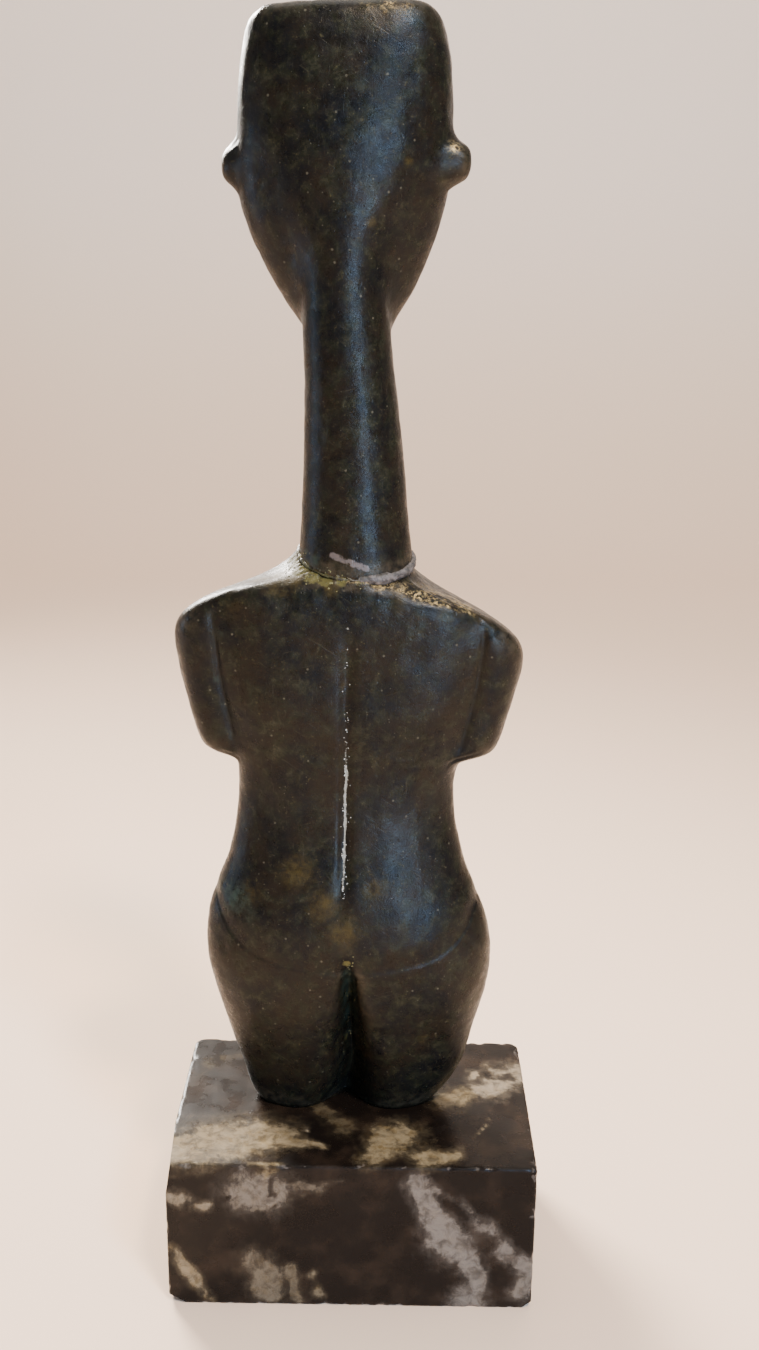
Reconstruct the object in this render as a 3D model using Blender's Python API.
"""A small bronze copy of a Cycladic idol, standing on a block of veined marble.

Metres, +Z up. The origin is the middle of the block's underside. The figure faces -Y, so its back looks
along +Y, and its own left side is at +X.

The figure is one free form, written as a signed distance: ovals whose widths and depths follow curves up
the figure, joined softly, with carved lines taken off. Each bronze piece is a loft of level sections of it.
"""

import math

import bmesh
import bpy
import numpy as np
from mathutils import Vector

MM = 0.001

# The marble block
BLOCK_WIDTH = 70 * MM
BLOCK_DEPTH = 45 * MM
BLOCK_HEIGHT = 31 * MM
BLOCK_FRONT_CORNER_RADIUS = 2.4 * MM
BLOCK_ARRIS = 0.4 * MM

# The figure. Its form below is in millimetres at its real height, and scales with FIGURE_HEIGHT.
FIGURE_HEIGHT = 203.3 * MM
DRAWN_HEIGHT = 203.3
FIGURE_OFF_CENTRE = 1.4 * MM
SEAT_GAP = 0.3 * MM
GLUE_GAP = 0.3 * MM

# The glued joint at the foot of the neck: its level on the neck's axis, and how it slopes
SEAM_LEVEL = 111.7
SEAM_SLOPE_TO_BACK = 0.311
SEAM_SLOPE_TO_LEFT = 0.0686

# Lean: the left shoulder is the higher one, and the neck leans to the left
SHOULDER_SLOPE = 0.064
SHOULDER_SLOPE_FROM, SHOULDER_SLOPE_FULL = 72.0, 100.0
NECK_FOOT_SHIFT = -1.1
HEAD_TOP_SLOPE = 0.038

# Sway: how far to its left the middle of each part stands, (level, distance)
TRUNK_SWAY = (
    (0, 0.4), (3, 0.1), (5, -0.5), (10, -1.1), (14, -0.8), (25, -0.6), (36, -0.3), (41, 0.1), (46, 0.4),
    (54, 0.5), (72, 0.4), (80, 0.0),
)
NECK_SWAY = ((111.7, NECK_FOOT_SHIFT), (124, -0.8), (134, -0.4), (146, 0.3), (154, 0.9), (160, 1.1))
HEAD_SWAY = (
    (150, 1.0), (156, 1.0), (160, 1.2), (168, 1.6), (173, 1.5), (178, 1.35), (186, 1.2), (195, 1.05),
)

# Trunk, hips and thighs as one column: (level above the feet, size)
TRUNK_HALF_WIDTH = (
    (0, 17.8), (1, 18.6), (3, 19.6), (5.5, 20.8), (10, 22.3), (16, 23.8), (22, 25.3), (29, 27.0), (33, 27.5),
    (36, 27.7), (40, 27.25), (44, 26.35), (48, 24.8), (52.5, 22.9), (57, 21.6), (61, 20.8), (66, 20.3),
    (71, 20.3), (75, 20.7), (82, 22.1), (90, 23.5), (98, 24.3), (106, 24.8),
)
TRUNK_BACK = (
    (0, 4.6), (1.5, 5.3), (6, 6.8), (14, 8.8), (22, 10.8), (30, 12.4), (36, 13.0), (42, 12.8), (50, 11.4),
    (58, 9.6), (67, 8.6), (76, 9.2), (86, 10.2), (95, 10.3), (102, 10.3), (107, 10.1), (114, 9.0),
)
TRUNK_FRONT = (
    (0, 9.0), (10, 9.6), (24, 9.6), (36, 9.4), (46, 9.8), (56, 9.0), (66, 8.2), (76, 8.4), (88, 8.8),
    (96, 8.6), (104, 8.0), (114, 7.4),
)
TRUNK_SQUARENESS = ((0, 2.3), (20, 2.25), (36, 2.3), (66, 2.3), (76, 2.8), (88, 3.8), (100, 4.2))

# Shoulder line, seen from behind: (distance from the middle, level of the top)
SHOULDER_LINE = (
    (0, 112.2), (9, 110.9), (11, 109.1), (13, 107.8), (17, 106.1), (22, 104.3), (26.5, 102.0), (29.5, 100.2),
    (31.5, 98.5), (34, 95.9),
)
SHOULDER_FALL_TO_BACK = ((0, 0.30), (8, 0.28), (12, 0.10), (16, -0.05), (20, -0.12), (34, -0.15))
SHOULDER_ROUNDING = 3.4

# Upper arms, pressed to the sides, and the forearms across the front
ARM_OUTER = ((73, 26.9), (77, 28.2), (80, 29.1), (85, 30.25), (90, 31.35), (96, 32.35), (106, 32.8))
ARM_INNER = 14.0
ARM_BACK = ((73, 5.6), (84, 6.8), (93, 8.0), (99, 8.6), (106, 8.0))
ARM_FRONT = 10.2
ARM_SQUARENESS = 3.0
ELBOW_LEVEL, ELBOW_SLOPE = 73.9, 0.012
ELBOW_ROUNDING = 3.8
FOREARM_LEVEL = 79.4
FOREARM_RISE = 1.6
FOREARM_HALF_HEIGHT = 4.6
FOREARM_HALF_DEPTH = 4.4
FOREARM_REACH = 26.0
FOREARM_AXIS_FRONT = ((0, 8.4), (12, 8.0), (20, 6.4), (27, 3.4))
BREAST_LEVEL, BREAST_SPREAD, BREAST_RADIUS, BREAST_DEPTH = 92.0, 10.0, 6.4, 5.2

# The cleft between the thighs, behind and in front: (level, half its opening) and (level, depth of the web)
CLEFT_OPENING = ((0, 6.4), (4, 5.4), (8, 4.5), (14, 3.6), (20, 2.9), (27, 1.7), (32, 0.9), (36, 0.4))
CLEFT_WEB_BACK = ((0, -4.0), (5, -2.6), (11, -0.8), (20, 1.2), (27, 4.8), (31, 8.0), (34, 11.2), (37, 14.5))
CLEFT_WEB_FRONT = ((0, 7.7), (12, 7.9), (20, 8.6), (25, 9.8), (30, 11.5))
CLEFT_FOOT_HALF_WIDTH = 0.4
CLEFT_EDGE_ROUNDING = ((0, 5.0), (20, 4.2), (30, 2.7), (36, 1.5))
FOOT_MIDDLE = -5.8

# The crease under the buttocks, and the groins in front: level = middle + rise towards the hips
CREASE_LEVEL, CREASE_CURVE, CREASE_HIP_RISE, CREASE_HIP = 34.5, 0.0085, 8.0, 25.5
GROIN_LEVEL, GROIN_RISE = 25.0, 0.8

# Neck, and how it runs up the back of the head
NECK_HALF_WIDTH = (
    (104, 10.6), (111, 10.2), (116, 9.75), (122, 9.35), (129, 8.9), (138, 8.3), (145, 7.85), (152, 7.55),
    (158, 7.2), (165, 7.8), (173, 10.0), (182, 12.4), (190, 13.0), (204, 12.0),
)
NECK_BACK = (
    (104, 9.0), (111, 8.8), (122, 8.6), (138, 8.0), (150, 7.7), (160, 8.0), (170, 8.7), (180, 9.3), (188, 9.2),
    (196, 8.2), (204, 5.5),
)
NECK_FRONT = ((104, 8.4), (116, 8.0), (138, 7.4), (152, 7.0), (164, 5.0), (176, 1.0), (204, 0.5))
HEAD_HALF_WIDTH = (
    (149, 5.0), (152, 7.3), (155.5, 9.5), (159.8, 11.9), (164.7, 14.4), (169.5, 16.5), (173, 17.6),
    (178, 18.1), (186, 18.3), (193, 17.9), (197, 17.2), (199.5, 16.6), (201, 15.8), (202.3, 14.5),
    (203.4, 12.4),
)
HEAD_BACK = (
    (149, -1.0), (154, 0.8), (160, 3.0), (167, 5.2), (175, 6.9), (184, 7.9), (194, 8.0), (204, 7.0),
)
HEAD_FRONT = (
    (149, 6.0), (153, 8.6), (158, 9.9), (164, 9.8), (172, 8.8), (182, 7.2), (194, 5.4), (204, 4.4),
)
HEAD_SQUARENESS = ((150, 2.1), (165, 2.4), (185, 2.9), (204, 3.0))
HEAD_TAPER_TO_BACK = ((150, 0.03), (165, 0.024), (180, 0.013), (204, 0.009))
HEAD_TOP_ROUNDING = 2.6
HEAD_FOOT_ROUNDING = 3.0
NECK_TO_HEAD_ROUNDING = 3.0
EAR_LEFT_LEVEL, EAR_RIGHT_LEVEL = 178.0, 178.6
EAR_LEFT_BACK, EAR_RIGHT_BACK = -2.6, 0.8
EAR_LEFT_REACH, EAR_RIGHT_REACH = 20.9, 21.4
EAR_HALF_HEIGHT, EAR_HALF_DEPTH = 3.6, 3.3
EAR_END_ROUNDING, EAR_ROOT_ROUNDING = 3.0, 1.1
NOSE_TOP, NOSE_FOOT, NOSE_HALF_WIDTH, NOSE_DEPTH = 191.0, 168.0, 2.6, 3.2

# Carved lines: how deep and how wide they are
SPINE_TOP, SPINE_FOOT, SPINE_DEPTH, SPINE_WIDTH, SPINE_DRIFT = 101.5, 47.0, 1.0, 0.9, 0.011
CREASE_DEPTH, CREASE_WIDTH, CREASE_STEP = 0.4, 0.7, 0.35
ARM_LINE_DEPTH, ARM_LINE_WIDTH = 0.6, 0.7
FINGER_DEPTH, FINGER_WIDTH, FINGER_PITCH, FINGER_LENGTH = 0.5, 0.55, 2.4, 8.0
FINGERTIP_DEPTH, FINGERTIP_WIDTH = 1.2, 0.8
PUBIC_LEVEL, PUBIC_HALF_WIDTH = 44.0, 21.0
EYE_LEVEL, EYE_SPREAD, EYE_HALF_WIDTH, EYE_HALF_HEIGHT, EYE_DEPTH = 179.5, 7.6, 4.0, 2.3, 1.1
MOUTH_LEVEL, MOUTH_HALF_WIDTH, MOUTH_DEPTH, MOUTH_WIDTH = 162.5, 4.4, 1.0, 1.1

# How finely the loft follows the form
BODY_COLUMNS, BODY_RINGS = 74, 40
HEAD_COLUMNS, HEAD_RINGS = 44, 43
SURVEY_RINGS, SURVEY_COLUMNS = 200, 360
BEND_WEIGHT = 3.5
EVENING = 8
HALVINGS = 20


def clear_scene():
    for old in list(bpy.data.objects):
        bpy.data.objects.remove(old)


def material(name, colour, roughness, metallic):
    made = bpy.data.materials.new(name)
    made.use_nodes = True
    shader = made.node_tree.nodes["Principled BSDF"]
    shader.inputs["Base Color"].default_value = (*colour, 1)
    shader.inputs["Roughness"].default_value = roughness
    shader.inputs["Metallic"].default_value = metallic
    return made


def follow(stations, at):
    """The value of a curve that runs smoothly, and without overshoot, through (place, value) stations."""
    places, values = (np.array(side, float) for side in zip(*stations))
    steps = np.diff(places)
    slopes = np.diff(values) / steps
    tangents = np.zeros_like(values)
    before, after = slopes[:-1], slopes[1:]
    steady = before * after > 0
    tangents[1:-1][steady] = 2 * before[steady] * after[steady] / (before + after)[steady]
    tangents[0], tangents[-1] = slopes[0], slopes[-1]
    at = np.clip(at, places[0], places[-1])
    i = np.clip(np.searchsorted(places, at) - 1, 0, len(steps) - 1)
    t = (at - places[i]) / steps[i]
    return (
        values[i] * (1 + 2 * t) * (1 - t) ** 2
        + values[i + 1] * t * t * (3 - 2 * t)
        + steps[i] * (tangents[i] * t * (1 - t) ** 2 - tangents[i + 1] * t * t * (1 - t))
    )


def ease(low, high, at):
    t = np.clip((at - low) / (high - low), 0, 1)
    return t * t * (3 - 2 * t)


def join(a, b, rounding):
    """The union of two forms, with a fillet."""
    t = np.clip(0.5 + 0.5 * (b - a) / rounding, 0, 1)
    return b + (a - b) * t - rounding * t * (1 - t)


def cut(a, b, rounding):
    """What two forms share, with its edge rounded."""
    return -join(-a, -b, rounding)


def oval(x, y, half_width, half_depth, squareness):
    """About how far a point is outside a squarish oval, negative inside."""
    u, v = np.abs(x) / half_width, np.abs(y) / half_depth
    size = np.maximum((u**squareness + v**squareness) ** (1 / squareness), 1e-6)
    across = (u / size) ** (squareness - 1) / half_width
    along = (v / size) ** (squareness - 1) / half_depth
    steepness = np.maximum(np.hypot(across, along), 1e-6)
    return np.maximum((size - 1) / steepness, -0.9 * np.minimum(half_width, half_depth))


def deep_oval(x, y, half_width, back, front, squareness):
    """An oval that reaches this far back and this far forward of the figure's middle plane."""
    return oval(x, y - (back - front) / 2, half_width, (back + front) / 2, squareness)


def line(distance, width):
    """The share of its full depth that a carved line has at this distance from its middle."""
    return np.exp(-((distance / width) ** 2))


def hips_edge(x, y):
    """The level where the hips end and the thighs begin: the crease behind, the groins in front."""
    side = np.abs(x)
    crease = CREASE_LEVEL + CREASE_CURVE * side**2
    crease = crease + CREASE_HIP_RISE * np.minimum(side / CREASE_HIP, 1.1) ** 8
    groin = GROIN_LEVEL + GROIN_RISE * np.sqrt(side**2 + 2)
    return groin + (crease - groin) * ease(-5, 5, y)


def cleft(x, y, level):
    """How deep a point is inside the gaps between the thighs, negative in the solid."""
    opening, foot = follow(CLEFT_OPENING, level), CLEFT_FOOT_HALF_WIDTH
    depths = []
    for deep, surface, web in (
        (y, follow(TRUNK_BACK, level), follow(CLEFT_WEB_BACK, level)),
        (-y, follow(TRUNK_FRONT, level), follow(CLEFT_WEB_FRONT, level)),
    ):
        spread = np.maximum(opening - foot, 0) / np.maximum(surface - web, 1.5)
        wall = (foot + (deep - web) * spread - np.abs(x)) / np.sqrt(1 + spread**2)
        depths.append(-cut(-wall, web - deep, 1.2))
    return np.maximum(depths[0], depths[1])


def trunk(x, y, level):
    x = x - follow(TRUNK_SWAY, level)
    column = deep_oval(
        x, y, follow(TRUNK_HALF_WIDTH, level), follow(TRUNK_BACK, level), follow(TRUNK_FRONT, level),
        follow(TRUNK_SQUARENESS, level),
    )
    return cut(column, cleft(x, y, level), follow(CLEFT_EDGE_ROUNDING, level))


def upper_arms(x, y, level, true_level):
    outer = follow(ARM_OUTER, level)
    half_width = (outer - ARM_INNER) / 2
    column = deep_oval(
        np.abs(x) - ARM_INNER - half_width, y, half_width, follow(ARM_BACK, level), ARM_FRONT, ARM_SQUARENESS
    )
    return cut(column, ELBOW_LEVEL + ELBOW_SLOPE * x - true_level, ELBOW_ROUNDING)


def forearms(x, y, level):
    side = np.abs(x)
    middle = FOREARM_LEVEL + FOREARM_RISE * (1 - side / FOREARM_REACH)
    forward = follow(FOREARM_AXIS_FRONT, side)
    bar = oval(y + forward, level - middle, FOREARM_HALF_DEPTH, FOREARM_HALF_HEIGHT, 2.1)
    return cut(bar, side - FOREARM_REACH, 4.0)


def breasts(x, y, level):
    in_plan = np.hypot(np.abs(x) - BREAST_SPREAD, y + BREAST_DEPTH)
    return np.hypot(in_plan, level - BREAST_LEVEL) - BREAST_RADIUS


def neck(x, y, level):
    column = deep_oval(
        x - follow(NECK_SWAY, level), y, follow(NECK_HALF_WIDTH, level), follow(NECK_BACK, level),
        follow(NECK_FRONT, level), 2.1,
    )
    return np.maximum(column, 100 - level)


def ears(x, y, level):
    left = ease(-1, 1, x)
    back = EAR_RIGHT_BACK + (EAR_LEFT_BACK - EAR_RIGHT_BACK) * left
    middle = EAR_RIGHT_LEVEL + (EAR_LEFT_LEVEL - EAR_RIGHT_LEVEL) * left
    reach = EAR_RIGHT_REACH + (EAR_LEFT_REACH - EAR_RIGHT_REACH) * left
    knob = oval(y - back, level - middle, EAR_HALF_DEPTH, EAR_HALF_HEIGHT, 2.3)
    return cut(knob, np.abs(x) - reach, EAR_END_ROUNDING)


def nose(x, y, level):
    share = np.clip((NOSE_TOP - level) / (NOSE_TOP - NOSE_FOOT), 0, 1)
    face = follow(HEAD_FRONT, level)
    ridge = oval(x, y + face - 1.0, 1.2 + (NOSE_HALF_WIDTH - 1.2) * share, 1.3 + NOSE_DEPTH * share, 1.7)
    return cut(cut(ridge, NOSE_FOOT - level, 1.2), level - NOSE_TOP, 1.2)


def head(x, y, level):
    x = x - follow(HEAD_SWAY, level)
    tapered = x * (1 + follow(HEAD_TAPER_TO_BACK, level) * (y + 1.5))
    plate = deep_oval(
        tapered, y, follow(HEAD_HALF_WIDTH, level), follow(HEAD_BACK, level), follow(HEAD_FRONT, level),
        follow(HEAD_SQUARENESS, level),
    )
    plate = cut(plate, 150 - level, HEAD_FOOT_ROUNDING)
    return join(join(plate, ears(x, y, level), EAR_ROOT_ROUNDING), nose(x, y, level), 1.0)


def carving(x, y, level, even):
    """How much the carved lines take off the surface."""
    back, front = ease(0, 3, y), ease(0, 3, -y)
    side = np.abs(x - follow(TRUNK_SWAY, level))
    spine = SPINE_DEPTH * line(x - SPINE_DRIFT * (SPINE_TOP - level), SPINE_WIDTH) * back
    spine = spine * ease(SPINE_FOOT, SPINE_FOOT + 7, level) * ease(SPINE_TOP, SPINE_TOP - 7, level)
    below = hips_edge(x, y) - level
    crease = CREASE_DEPTH * line(below, CREASE_WIDTH)
    crease = crease + CREASE_STEP * ease(-0.5, 0.5, below) * ease(14, 2, below)
    crease = crease * ease(27, 23, side)
    groove = follow(TRUNK_HALF_WIDTH, even) - 0.3
    arms = ARM_LINE_DEPTH * line(side - groove, ARM_LINE_WIDTH) * back
    arms = arms * ease(74, 78, even) * ease(104, 100, even)
    from_middle = even - FOREARM_LEVEL - FOREARM_RISE
    fingers = sum(line(from_middle - FINGER_PITCH * row, FINGER_WIDTH) for row in (-1, 0, 1))
    fingers = FINGER_DEPTH * fingers * front * ease(FINGER_LENGTH + 1.5, FINGER_LENGTH - 1.5, side)
    tips = FINGERTIP_DEPTH * line(x - SPINE_DRIFT * (SPINE_TOP - level), FINGERTIP_WIDTH) * front
    tips = tips * ease(FOREARM_HALF_HEIGHT + 1.5, FOREARM_HALF_HEIGHT - 1, np.abs(from_middle))
    pubic = CREASE_DEPTH * line(level - PUBIC_LEVEL, CREASE_WIDTH) * front
    pubic = pubic * ease(PUBIC_HALF_WIDTH + 1, PUBIC_HALF_WIDTH - 2, side)
    from_nose = np.abs(x - follow(HEAD_SWAY, level))
    across = (from_nose - EYE_SPREAD) / EYE_HALF_WIDTH
    up = (level - EYE_LEVEL) / EYE_HALF_HEIGHT
    eyes = EYE_DEPTH * line(np.hypot(across, up), 0.8) * front
    mouth = MOUTH_DEPTH * line(level - MOUTH_LEVEL, MOUTH_WIDTH) * front
    mouth = mouth * ease(MOUTH_HALF_WIDTH + 1, MOUTH_HALF_WIDTH - 1, from_nose)
    return spine + crease + arms + fingers + tips + pubic + eyes + mouth


def shoulder_slope(level):
    slope = SHOULDER_SLOPE * ease(SHOULDER_SLOPE_FROM, SHOULDER_SLOPE_FULL, level)
    return slope * ease(SEAM_LEVEL + 12, SEAM_LEVEL - 4, level)


def head_top_fall(x):
    """The top of the head falls to its left."""
    return HEAD_TOP_SLOPE * (x + 15)


def figure(x, y, level):
    """The whole figure's signed distance, in millimetres at its drawn height."""
    even = level - shoulder_slope(level) * x
    body = join(trunk(x, y, level), upper_arms(x, y, even, level), 0.5 + 4.0 * ease(2, -6, y))
    body = join(body, forearms(x, y, even), 1.0)
    body = join(body, breasts(x, y, even), 2.5)
    fall = follow(SHOULDER_FALL_TO_BACK, np.abs(x)) * y
    shoulders = even + fall - follow(SHOULDER_LINE, np.abs(x))
    body = cut(body, shoulders, SHOULDER_ROUNDING)
    upper = join(neck(x, y, level), head(x, y, level), NECK_TO_HEAD_ROUNDING)
    upper = cut(upper, level + head_top_fall(x) - DRAWN_HEIGHT, HEAD_TOP_ROUNDING)
    return join(body, upper, 2.0) + carving(x, y, level, even)


def seam_rise(x, y):
    return SEAM_SLOPE_TO_LEFT * (x - NECK_FOOT_SHIFT) - SEAM_SLOPE_TO_BACK * y


def ring_level(rung, x, y):
    """The level of a ring at a point: rings are flat, but bend to run along the crease and along the seam."""
    to_seam = ease(SEAM_LEVEL - 15, SEAM_LEVEL - 1, rung) * ease(SEAM_LEVEL + 16, SEAM_LEVEL + 1, rung)
    to_crease = ease(6, CREASE_LEVEL, rung) * ease(66, CREASE_LEVEL, rung)
    bent = to_crease * (hips_edge(x, y) - CREASE_LEVEL) + shoulder_slope(rung) * x
    to_top = ease(DRAWN_HEIGHT - 12, DRAWN_HEIGHT, rung)
    return rung + (1 - to_seam) * bent + to_seam * seam_rise(x, y) - to_top * head_top_fall(x)


def ring_middle(rung):
    """A point inside a ring, from which all of it is in sight."""
    on_spine = SPINE_DRIFT * np.clip(SPINE_TOP - rung, 0, SPINE_TOP - SPINE_FOOT)
    x = np.where(rung < SEAM_LEVEL, on_spine, follow(NECK_SWAY, rung))
    x = x * ease(38, 50, rung) + follow(TRUNK_SWAY, rung) * ease(50, 38, rung)
    y = FOOT_MIDDLE * ease(38, 20, rung) + 2.0 * ease(SEAM_LEVEL + 50, DRAWN_HEIGHT, rung)
    return x, y


def surface(rungs, angles):
    """Points of the figure's surface, found outwards from the middle of each ring by halving."""
    rungs, angles = np.broadcast_arrays(rungs, angles)
    x0, y0 = ring_middle(rungs)
    near, far = np.zeros(rungs.shape), np.full(rungs.shape, 50.0)
    for _ in range(HALVINGS):
        reach = (near + far) / 2
        x, y = x0 + reach * np.cos(angles), y0 + reach * np.sin(angles)
        inside = figure(x, y, ring_level(rungs, x, y)) < 0
        near, far = np.where(inside, reach, near), np.where(inside, far, reach)
    x, y = x0 + near * np.cos(angles), y0 + near * np.sin(angles)
    return np.stack([x, y, ring_level(rungs, x, y)], axis=-1)


def bend_along(steps, axis):
    """How far a path turns at each of its steps."""
    steps = np.moveaxis(steps, axis, 0)
    ways = steps / np.maximum(np.linalg.norm(steps, axis=-1, keepdims=True), 1e-9)
    turns = np.arccos(np.clip((ways[1:] * ways[:-1]).sum(axis=-1), -1, 1))
    turns = np.pad(turns, [(1, 1), (0, 0)])
    return np.moveaxis((turns[1:] + turns[:-1]) / 2, 0, axis)


def survey(low, high):
    """Where a loft between two levels needs its rings and its columns: closest where the form bends."""
    rungs = np.linspace(low, high, SURVEY_RINGS)
    angles = -math.pi / 2 + 2 * math.pi * np.arange(SURVEY_COLUMNS + 1) / SURVEY_COLUMNS
    points = surface(rungs[:, None], angles[None, :])
    round_steps, up_steps = np.diff(points, axis=1), np.diff(points, axis=0)
    round_need = np.linalg.norm(round_steps, axis=-1) + BEND_WEIGHT * bend_along(round_steps, 1)
    padded = np.pad(round_need, [(EVENING, EVENING), (0, 0)], mode="edge")
    round_need = sum(padded[i:i + SURVEY_RINGS] for i in range(2 * EVENING + 1)) / (2 * EVENING + 1)
    up_lengths = np.linalg.norm(up_steps, axis=-1)
    up_need = up_lengths.mean(axis=1) + 0.6 * up_lengths.max(axis=1)
    up_need = up_need + BEND_WEIGHT * bend_along(up_steps, 0).mean(axis=1)
    return rungs, angles, round_need, up_need


def spaced(need, places, count):
    """count + 1 places with the same need between each and the next."""
    run = np.concatenate([[0], np.cumsum(need)])
    return np.interp(np.linspace(0, run[-1], count + 1), run, places)


def loft(low, high, ring_count, column_count, key_levels):
    """A closed mesh round the figure between two levels, still in drawn millimetres."""
    rungs, angles, round_need, up_need = survey(low, high)
    chosen = spaced(up_need, rungs, ring_count - 1)
    for key in key_levels:
        chosen[np.argmin(np.abs(chosen - key))] = key
    half = SURVEY_COLUMNS // 2
    columns = np.array([
        np.concatenate([
            spaced(need[:half], angles[:half + 1], column_count // 2)[:-1],
            spaced(need[half:], angles[half:], column_count // 2)[:-1],
        ])
        for need in round_need
    ])
    columns = np.stack([np.interp(chosen, rungs, column) for column in columns.T], axis=1)
    mesh = bmesh.new()
    rings = [[mesh.verts.new(point) for point in ring] for ring in surface(chosen[:, None], columns)]
    for below, above in zip(rings, rings[1:]):
        for i in range(column_count):
            j = (i + 1) % column_count
            mesh.faces.new((below[i], below[j], above[j], above[i]))
    mesh.faces.new(rings[0][::-1])
    mesh.faces.new(rings[-1])
    mesh.normal_update()
    return mesh


def trim(mesh, point, normal):
    """Cuts off what lies past a plane, and closes the cut."""
    geometry = mesh.verts[:] + mesh.edges[:] + mesh.faces[:]
    cut_edges = bmesh.ops.bisect_plane(
        mesh, geom=geometry, plane_co=point, plane_no=normal, clear_outer=True
    )["geom_cut"]
    bmesh.ops.holes_fill(mesh, edges=[e for e in cut_edges if isinstance(e, bmesh.types.BMEdge)])
    bmesh.ops.recalc_face_normals(mesh, faces=mesh.faces)


def add_object(name, mesh, finish, smooth_below=None):
    data = bpy.data.meshes.new(name)
    mesh.to_mesh(data)
    mesh.free()
    if smooth_below:
        data.shade_smooth()
        data.set_sharp_from_angle(angle=math.radians(smooth_below))
    data.materials.append(finish)
    made = bpy.data.objects.new(name, data)
    bpy.context.scene.collection.objects.link(made)
    return made


def bronze_piece(name, mesh, finish):
    """One casting at its real size, standing over the block."""
    bmesh.ops.scale(mesh, vec=(FIGURE_HEIGHT / DRAWN_HEIGHT,) * 3, verts=mesh.verts)
    bmesh.ops.translate(mesh, vec=(FIGURE_OFF_CENTRE, 0, BLOCK_HEIGHT + SEAT_GAP), verts=mesh.verts)
    return add_object(name, mesh, finish, smooth_below=50)


def chip(mesh, corner, along):
    """Breaks a corner off: along says how far the break runs down each of the corner's three edges."""
    corner, ends = Vector(corner), []
    for axis in range(3):
        end = corner.copy()
        end[axis] -= math.copysign(along[axis], corner[axis] - (BLOCK_HEIGHT / 2 if axis == 2 else 0))
        ends.append(end)
    normal = (ends[1] - ends[0]).cross(ends[2] - ends[0]).normalized()
    if normal.dot(corner - ends[0]) < 0:
        normal.negate()
    trim(mesh, ends[0], normal)


def marble_block(finish):
    """A sawn block: two rounded upright corners in front, a fine arris all round, three broken corners."""
    mesh = bmesh.new()
    bmesh.ops.create_cube(mesh, size=1)
    bmesh.ops.scale(mesh, vec=(BLOCK_WIDTH, BLOCK_DEPTH, BLOCK_HEIGHT), verts=mesh.verts)
    bmesh.ops.translate(mesh, vec=(0, 0, BLOCK_HEIGHT / 2), verts=mesh.verts)
    front_uprights = [
        e for e in mesh.edges
        if abs(e.verts[0].co.z - e.verts[1].co.z) > BLOCK_HEIGHT / 2 and e.verts[0].co.y < 0
    ]
    bmesh.ops.bevel(
        mesh, geom=front_uprights, offset=BLOCK_FRONT_CORNER_RADIUS, segments=5, profile=0.5, affect="EDGES"
    )
    sharp = [e for e in mesh.edges if e.calc_face_angle() > math.radians(40)]
    bmesh.ops.bevel(mesh, geom=sharp, offset=BLOCK_ARRIS, segments=2, profile=0.5, affect="EDGES")
    left, back = BLOCK_WIDTH / 2, BLOCK_DEPTH / 2
    chip(mesh, (left, back, BLOCK_HEIGHT), (1.1 * MM, 15 * MM, 7 * MM))
    chip(mesh, (left, back, 0), (3.6 * MM, 3.0 * MM, 2.2 * MM))
    chip(mesh, (-left, back, 0), (2.1 * MM, 2.4 * MM, 1.7 * MM))
    return add_object("marble_block", mesh, finish, smooth_below=30)


def main():
    clear_scene()
    bronze = material("dark patinated bronze", (0.045, 0.04, 0.03), 0.42, 0.8)
    marble = material("black marble with cream veins", (0.06, 0.05, 0.045), 0.3, 0.0)
    marble_block(marble)
    body = loft(0, SEAM_LEVEL, BODY_RINGS, BODY_COLUMNS, [CREASE_LEVEL, PUBIC_LEVEL])
    bronze_piece("bronze_body", body, bronze)
    gap = GLUE_GAP * DRAWN_HEIGHT / FIGURE_HEIGHT
    head_and_neck = loft(
        SEAM_LEVEL + gap, DRAWN_HEIGHT - 0.02, HEAD_RINGS, HEAD_COLUMNS, [MOUTH_LEVEL, EYE_LEVEL]
    )
    bronze_piece("head_and_neck", head_and_neck, bronze)


main()
